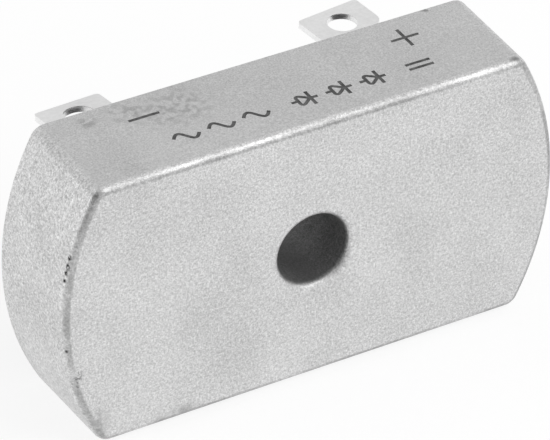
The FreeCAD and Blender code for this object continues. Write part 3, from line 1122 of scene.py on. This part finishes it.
@dataclass
class Circuit:
    """The sealed pieces, which keep their solids and get a finish each."""

    finishes: dict[Slot, Finish]

    def slot_of(self, node: str) -> Slot:
        """The slot of a sealed piece, by its name.

        Args:
            node: the solid's name.

        Returns:
            Its slot.
        """
        if node.endswith("chip"):
            return Slot.SILICON
        if node.endswith("solder"):
            return Slot.SOLDER
        if node == "insulating_sheet":
            return Slot.CERAMIC
        return Slot.COPPER

    def dress(self, effects: SharedEffects) -> None:
        """Give every sealed piece its material.

        Args:
            effects: the shared node groups.
        """
        materials = {slot: finish.build(effects) for slot, finish in self.finishes.items()}
        sealed = [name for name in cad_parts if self.is_sealed(name)]
        for node in sealed:
            slot = self.slot_of(node)
            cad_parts[node].material_slots[0].material = materials[slot]
        log.info("circuit: %d sealed pieces dressed", len(sealed))

    def is_sealed(self, node: str) -> bool:
        """Whether the resin covers a piece."""
        return node not in ("case", "potting_compound") and "terminal" not in node


# Studio


def direction(azimuth: float, elevation: float) -> Vector:
    """The direction from the object towards a lamp or a camera.

    Args:
        azimuth: how far round it stands, in radians, from the front towards the right.
        elevation: how high it stands, in radians.

    Returns:
        A vector of length 1.
    """
    level = math.cos(elevation)
    return Vector((math.sin(azimuth) * level, -math.cos(azimuth) * level, math.sin(elevation)))


@dataclass
class Lamp:
    """A soft area lamp, aimed at the middle of the case."""

    name: str
    azimuth: float
    elevation: float
    distance: float
    size: float
    radiance: float

    def build(self, target: Vector) -> None:
        """Hang the lamp.

        Args:
            target: the point that it is aimed at.
        """
        away = direction(math.radians(self.azimuth), math.radians(self.elevation))
        data = bpy.data.lights.new(self.name, "AREA")
        data.shape = "DISK"
        data.size = self.size
        data.energy = self.radiance * math.pi * math.pi * (self.size / 2) ** 2
        item = add_object(self.name, data)
        item.location = target + away * self.distance
        item.rotation_euler = away.to_track_quat("Z", "Y").to_euler()


@dataclass
class Studio:
    """A pale floor, a white background, soft lamps and the camera."""

    floor_size: float = 3.0
    seen_floor: float = 0.3
    plain_floor: float = 0.8
    floor_glow: float = 0.77
    sky: float = 0.75
    dim_side: tuple[float, float, float] = (-0.82, -0.49, 0.3)
    dim_outer: float = 0.7
    dim_inner: float = 0.92
    dim_share: float = 0.95
    camera_azimuth: float = math.radians(-29.862)
    camera_elevation: float = math.radians(34.432)
    camera_roll: float = math.radians(0.245)
    camera_distance: float = 0.49864
    camera_right: float = -4.684 * MM
    camera_up: float = 3.657 * MM
    camera_lens: float = 279.93
    camera_near: float = 0.01
    camera_far: float = 20.0
    lamps: tuple[Lamp, ...] = (
        Lamp("key_lamp", 36.0, 45.7, 0.7, 0.42, 2.4),
        Lamp("left_lamp", -100.0, 12.0, 0.8, 0.35, 2.0),
    )

    def seen(self, graph: Graph) -> Socket:
        """Mark the rays that show the background itself.

        Args:
            graph: a material's or the world's graph.

        Returns:
            A socket that is 1 for camera, glossy and transmission rays.
        """
        path = graph.add("ShaderNodeLightPath")
        straight = graph.math("MAXIMUM", path.outputs["Is Camera Ray"], path.outputs["Is Glossy Ray"])
        return graph.math("MAXIMUM", straight, path.outputs["Is Transmission Ray"])

    def build_floor(self) -> None:
        """Lay the floor, with a material that stays white and keeps a faint shadow."""
        half = self.floor_size / 2
        mesh = bpy.data.meshes.new("floor")
        corners = [(-half, -half, 0), (half, -half, 0), (half, half, 0), (-half, half, 0)]
        mesh.from_pydata(corners, [], [(0, 1, 2, 3)])
        floor = add_object("floor", mesh)
        material = bpy.data.materials.new("pale_floor")
        material.use_nodes = True
        graph = Graph(material.node_tree)
        seen = self.seen(graph)
        plain, shown = (self.plain_floor,) * 3, (self.seen_floor,) * 3
        paint = graph.add("ShaderNodeBsdfDiffuse", {"Color": graph.blend(seen, plain, shown)})
        glow = graph.add("ShaderNodeEmission", {"Strength": graph.math("MULTIPLY", seen, self.floor_glow)})
        both = graph.add("ShaderNodeAddShader", {0: paint.outputs[0], 1: glow.outputs[0]})
        graph.add("ShaderNodeOutputMaterial", {"Surface": both.outputs[0]})
        mesh.materials.append(material)

    def build_sky(self) -> None:
        """Make the plain white world."""
        world = bpy.data.worlds.new("studio")
        world.use_nodes = True
        graph = Graph(world.node_tree)
        path = graph.add("ShaderNodeLightPath")
        ray = graph.add("ShaderNodeTexCoord").outputs["Generated"]
        towards = graph.add("ShaderNodeVectorMath", {0: ray, 1: self.dim_side}, operation="DOT_PRODUCT")
        dim = graph.spread(towards.outputs["Value"], self.dim_outer, self.dim_inner, 0.0, self.dim_share)
        mirrored = graph.math("MULTIPLY", path.outputs["Is Glossy Ray"], dim)
        strength = graph.spread(self.seen(graph), 0.0, 1.0, self.sky, 1.0)
        strength = graph.math("SUBTRACT", strength, mirrored)
        background = graph.add("ShaderNodeBackground", {"Strength": strength})
        graph.add("ShaderNodeOutputWorld", {"Surface": background.outputs[0]})
        bpy.context.scene.world = world

    def build_camera(self) -> None:
        """Set the camera where the photograph was taken from."""
        low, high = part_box("case")
        target = Vector((0.0, low.y, (low.z + high.z) / 2))
        roll = self.camera_roll
        back = direction(self.camera_azimuth, self.camera_elevation)
        level_right = (-back).cross(Vector((0, 0, 1))).normalized()
        level_up = level_right.cross(-back)
        right = level_right * math.cos(roll) + level_up * math.sin(roll)
        up = level_up * math.cos(roll) - level_right * math.sin(roll)
        data = bpy.data.cameras.new("camera")
        data.lens = self.camera_lens
        data.clip_start = self.camera_near
        data.clip_end = self.camera_far
        camera = add_object("camera", data)
        place = target + back * self.camera_distance + right * self.camera_right + up * self.camera_up
        camera.matrix_world = Matrix.Translation(place) @ Matrix((right, up, back)).transposed().to_4x4()
        bpy.context.scene.camera = camera

    def build(self) -> None:
        """Set the studio up."""
        self.build_camera()
        self.build_floor()
        self.build_sky()
        low, high = CAD_BOX
        for lamp in self.lamps:
            lamp.build((low + high) / 2)
        bpy.context.scene.view_settings.view_transform = "Standard"
        log.info("studio: %d lamps", len(self.lamps))


# The finishes of this object

BLACK: Colour = (0.01, 0.01, 0.01)
BRIGHT: Colour = (0.95, 0.95, 0.95)
WORN_PATCHES = (
    Patch((-31.65, -12.5, 27.6), (0.35, 0.35, 0.55), 0.25, 0.62, 1.0, BLACK),
    Patch((-31.85, -12.5, 26.5), (0.4, 0.35, 0.75), 0.25, 0.6, 1.0, BLACK),
    Patch((-32.1, -12.45, 25.7), (0.35, 0.35, 0.5), 0.25, 0.62, 1.0, BLACK),
    Patch((-32.35, -12.45, 24.7), (0.3, 0.3, 0.35), 0.4, 0.85, 1.0, BLACK),
    Patch((-12.5, -2.6, 36.1), (6.5, 5.0, 1.5), 0.8, 0.52, 0.3),
    Patch((-18.3, -0.6, 36.2), (3.2, 2.6, 1.0), 0.8, 0.52, 0.3),
    Patch((-22.9, -0.6, 36.2), (1.8, 1.5, 1.0), 0.7, 0.55, 0.35),
    Patch((-32.55, -12.85, 15.15), (0.3, 0.3, 0.3), 1.0, 0.9, 0.9, BLACK),
    Patch((-31.3, -13.05, 10.6), (1.0, 0.8, 2.6), 0.35, 0.44, 0.7),
    Patch((-28.8, -13.1, 3.6), (1.7, 1.0, 2.8), 0.8, 0.55, 0.35),
    Patch((-18.6, -13.0, 1.4), (4.0, 1.2, 1.4), 0.8, 0.52, 0.35),
    Patch((27.3, -12.4, 35.7), (0.9, 0.5, 0.5), 0.8, 0.7, 0.7),
    Patch((23.5, 1.4, 36.2), (0.9, 0.6, 0.6), 0.6, 0.6, 0.6),
    Patch((25.4, -13.17, 29.3), (1.5, 0.6, 1.2), 0.3, 0.45, 0.8, BRIGHT),
    Patch((11.5, -13.17, 30.6), (0.8, 0.6, 0.6), 0.3, 0.45, 0.8, BRIGHT),
)
CASTING = CastFinish(
    "cast_aluminium_tumbled", (0.69, 0.69, 0.69), (0.65, 0.65, 0.65), 0.5, grain_size=0.2 * MM, grain_tint=0.12,
    grain_depth=0.03 * MM, patches=WORN_PATCHES,
)
MARKS = Finish("cut_marks", (0.17, 0.17, 0.17), (0.06, 0.06, 0.06), 0.7, metallic=0.0, cloud_size=0.6 * MM)
TIN = Finish(
    "tinned_sheet", (0.9, 0.9, 0.9), (0.82, 0.82, 0.82), 0.36, grain_size=0.5 * MM, grain_depth=0.004 * MM,
    grain_tint=0.04,
)
# A near-black finish for the narrow edge breaks of the blades.
EDGE_BREAK_FINISH = Finish(
    "dark_edge_break", (0.16, 0.16, 0.16), (0.1, 0.1, 0.1), 0.5, grain_size=0.4 * MM, grain_depth=0.004 * MM,
)
RESIN = Finish(
    "potting_resin", (0.018, 0.018, 0.02), (0.012, 0.012, 0.013), 0.3, metallic=0.0, pit_depth=0.1 * MM,
    grain_depth=0.006 * MM,
)
INNER = {
    Slot.COPPER: Finish("copper_sheet", (0.72, 0.42, 0.28), (0.6, 0.33, 0.21), 0.35),
    Slot.SILICON: Finish("silicon_chip", (0.22, 0.23, 0.26), (0.18, 0.19, 0.22), 0.2, metallic=0.4),
    Slot.SOLDER: Finish("soft_solder", (0.55, 0.56, 0.58), (0.45, 0.46, 0.48), 0.4),
    Slot.CERAMIC: Finish("alumina_sheet", (0.88, 0.88, 0.86), (0.82, 0.82, 0.8), 0.6, metallic=0.0),
}


def main() -> None:
    """Build the case, its terminals, the resin, the circuit and the studio in order."""
    logging.basicConfig(level=logging.INFO, format="%(name)s: %(message)s")
    Studio().build()
    effects = SharedEffects()
    Case(CASTING, MARKS).build(effects)
    Terminals(TIN, EDGE_BREAK_FINISH).build(effects)
    PottingSkin(RESIN).build(effects)
    Circuit(INNER).dress(effects)


if __name__ == "__main__":
    main()
